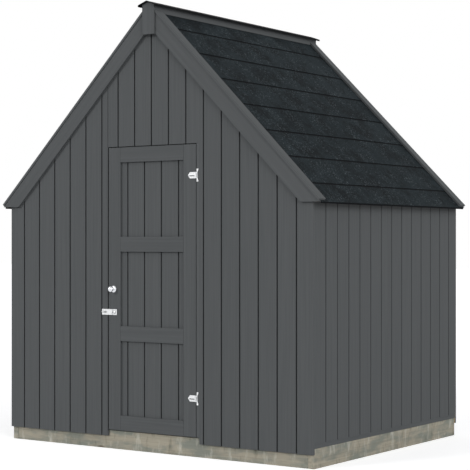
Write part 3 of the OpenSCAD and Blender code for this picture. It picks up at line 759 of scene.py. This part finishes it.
metalwork("hinge_plates", "shed")
metalwork("hinge_straps", "door")
metal_t = 0.0025  # how thick the pressed metal is
plate_half, plate_screw_in, plate_screw_up = 0.041, 0.0055, 0.036
low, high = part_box("hinge_plates")
strap_low, strap_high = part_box("hinge_straps")
centres = (low.z + plate_half, high.z - plate_half)
plate_y = strap_high.y - metal_t
screws("hinge_plate_screws", [
    (high.x - plate_screw_in, plate_y, z + up)
    for z in centres for up in (-plate_screw_up, plate_screw_up)], 0.0028, "shed")
# One screw in the strap's point and two on each side of its slot: (from the point, up)
strap_places = ((0.008, 0.0), (0.026, 0.011), (0.026, -0.0135), (0.047, 0.011), (0.047, -0.0135))
screws("hinge_strap_screws", [
    (strap_low.x + x, plate_y, z + up) for z in centres for x, up in strap_places], 0.0032, "door")

# --- Hasp and staple -----------------------------------------------------------------------------
# A zinc plated hasp on the stile, whose slotted leaf drops over a staple on the wall.
# A domed cover turns over its lock bolt, in a ring of black coated steel that stands for the
# shadow round the dome.

for node, body in (("hasp_plate", "door"), ("hasp_leaf", "hasp"), ("hasp_staple", "shed")):
    metalwork(node, body)
hasp_screw_in, hasp_screw_up, dome_in = 0.005, 0.0135, 0.0198
low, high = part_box("hasp_plate")
face_y, middle_z = high.y - metal_t, (low.z + high.z) / 2
screws("hasp_plate_screws", [
    (high.x - hasp_screw_in, face_y, middle_z + up)
    for up in (-hasp_screw_up, hasp_screw_up)], 0.003, "door")


def turned(name, profile, at, finish, body, slot, *nodes, sides=48):
    """A shape turned about an axis along -Y, from radius and height pairs."""
    work = bmesh.new()
    rings = []
    for r, reach in profile:
        turns = [2 * math.pi * i / sides for i in (range(sides) if r > 1e-6 else (0,))]
        rings.append([work.verts.new((at[0] + r * math.cos(a), at[1] - reach,
                                      at[2] + r * math.sin(a))) for a in turns])
    for a, b in zip(rings, rings[1:]):
        for i in range(sides):
            j = (i + 1) % sides
            corners = [a[i % len(a)], a[j % len(a)], b[j % len(b)], b[i % len(b)]]
            work.faces.new(list(dict.fromkeys(corners)))
    bmesh.ops.recalc_face_normals(work, faces=work.faces)
    mesh = finished(work, name)
    mesh.shade_smooth()
    mesh.set_sharp_from_angle(angle=math.radians(40))
    return placed(mesh, name, body, finish, slot, *nodes)


dome_at = (high.x - dome_in, face_y, middle_z)
# The black ring is painted shade: a dark ring for the shadow round the dome
turned("hasp_ring", [(0.0, 0.0), (0.0122, 0.0), (0.0122, 0.0007), (0.0118, 0.0011), (0.0, 0.0011)],
       dome_at, coated, "door", "black_metal")
turned("hasp_dome", [(0.0, 0.0011), (0.0102, 0.0011), (0.0104, 0.0016), (0.0098, 0.0022),
                     (0.0075, 0.0032), (0.0042, 0.0040), (0.0, 0.0043)],
       dome_at, zinc, "door", "zinc_plate")

# --- Knob ----------------------------------------------------------------------------------------
# A cast knob, turned and chrome plated: a stepped rose against the stile, a waisted neck and a
# round head that is flatter than a ball.

# Polished chrome: a near mirror, slightly blue, hazed by handling
chrome, tree, surface = finish_named("polished_chrome", Metallic=1.0, Roughness=0.07)
where = add(tree, "ShaderNodeTexCoord").outputs["Object"]
haze = add(tree, "ShaderNodeTexNoise", {"Vector": where, "Scale": 90, "Detail": 3})
colour = add(tree, "ShaderNodeMix", {
    0: haze, 6: tone("e6e7ea"), 7: tone("d2d4d8")}, data_type="RGBA")
rubbed = add(tree, "ShaderNodeMapRange", {"Value": haze, "To Min": 0.04, "To Max": 0.12})
feed(tree, surface, {"Base Color": colour, "Roughness": rubbed})

low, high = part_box("door_knob")
cx, cz, reach = (low.x + high.x) / 2, (low.z + high.z) / 2, high.y - low.y
rose, ball, ball_deep = (high.x - low.x) / 2, 0.0198, 0.0125
profile = [(0.0, 0.0), (rose, 0.0), (rose, 0.0018), (rose - 0.0012, 0.003), (rose - 0.004, 0.0036),
           (rose - 0.0055, 0.0048), (0.0125, 0.0052), (0.0098, 0.0066), (0.0082, 0.0095),
           (0.0078, 0.0135), (0.0086, 0.0172), (0.0112, 0.0200)]
# The head's outline, from the neck, 58 degrees behind its widest place, to the middle of its face
steps, from_deg, through_deg = 13, -58, 148
for k in range(1, steps + 1):
    a = math.radians(from_deg + through_deg * k / steps)
    r = ball * math.cos(a) if k < steps else 0.0
    profile.append((r, reach - ball_deep + ball_deep * math.sin(a)))
turned("door_knob_turned", profile, (cx, high.y, cz), chrome, "door", "polished_metal",
       "door_knob")

# --- Studio --------------------------------------------------------------------------------------
# A plain pale floor that keeps the shed's shadow, a white surround, soft even light from above the
# front and a long lens at standing height.

# Painted screed: matt, with a mottle too faint to draw the eye
ground, tree, surface = finish_named("plain_pale_floor", Roughness=0.9)
where = add(tree, "ShaderNodeTexCoord").outputs["Object"]
mottle = add(tree, "ShaderNodeTexNoise", {"Vector": where, "Scale": 3, "Detail": 2})
colour = add(tree, "ShaderNodeMix", {
    0: mottle, 6: tone("d6d6d6"), 7: tone("dedede")}, data_type="RGBA")


def seen_rays(tree):
    """1 for the camera and for what shiny and clear surfaces show, 0 for the light itself."""
    rays = add(tree, "ShaderNodeLightPath").outputs
    shown = add(tree, SUM, {
        0: rays["Is Glossy Ray"], 1: rays["Is Transmission Ray"]}, operation="MAXIMUM")
    return add(tree, SUM, {0: rays["Is Camera Ray"], 1: shown}, operation="MAXIMUM")


# A lift that only those rays see keeps the lit floor white
lift = add(tree, SUM, {0: seen_rays(tree), 1: 0.6}, operation="MULTIPLY")
feed(tree, surface, {
    "Base Color": colour, "Emission Color": tone("ffffff"), "Emission Strength": lift})
reach = 60
mesh = bpy.data.meshes.new("studio_floor")
mesh.from_pydata([(-reach, -reach, 0), (reach, -reach, 0), (reach, reach, 0), (-reach, reach, 0)],
                 [], [(0, 1, 2, 3)])
mesh.materials.append(ground)
floor = bpy.data.objects.new("studio_floor", mesh)
bpy.context.scene.collection.objects.link(floor)

world = bpy.data.worlds.new("studio")
bpy.context.scene.world = world
world.use_nodes = True
sky = world.node_tree
sky.nodes.clear()
soft_light = add(sky, "ShaderNodeBackground", {"Color": tone("f4f6fa"), "Strength": 0.45})
white = add(sky, "ShaderNodeBackground", {"Color": tone("ffffff"), "Strength": 1.0})
mixed = add(sky, "ShaderNodeMixShader", {0: seen_rays(sky), 1: soft_light, 2: white})
add(sky, "ShaderNodeOutputWorld", {"Surface": mixed})

lamps = {
    # name: (strength, angle across in degrees, aim)
    "front_lamp": (1.0, 12, (0.35, 0.75, -0.33)),
    "side_lamp": (1.32, 40, (-0.9, 0.4, -0.42)),
}
for name, (energy, angle, aim) in lamps.items():
    lamp = bpy.data.lights.new(name, "SUN")
    lamp.energy = energy
    lamp.angle = math.radians(angle)
    lamp_object = bpy.data.objects.new(name, lamp)
    lamp_object.rotation_euler = Vector(aim).to_track_quat("-Z", "Y").to_euler()
    bpy.context.scene.collection.objects.link(lamp_object)

lens = bpy.data.cameras.new("camera")
lens.lens, lens.sensor_width = 111.38, 36.0
lens.shift_x, lens.shift_y = 0.00045, 0.0164
camera = bpy.data.objects.new("camera", lens)
camera.location = (5.771, -8.3565, 1.355)
camera.rotation_euler = (math.radians(90), 0, math.radians(34.67))
bpy.context.scene.collection.objects.link(camera)
bpy.context.scene.camera = camera
bpy.context.scene.view_settings.view_transform = "Standard"
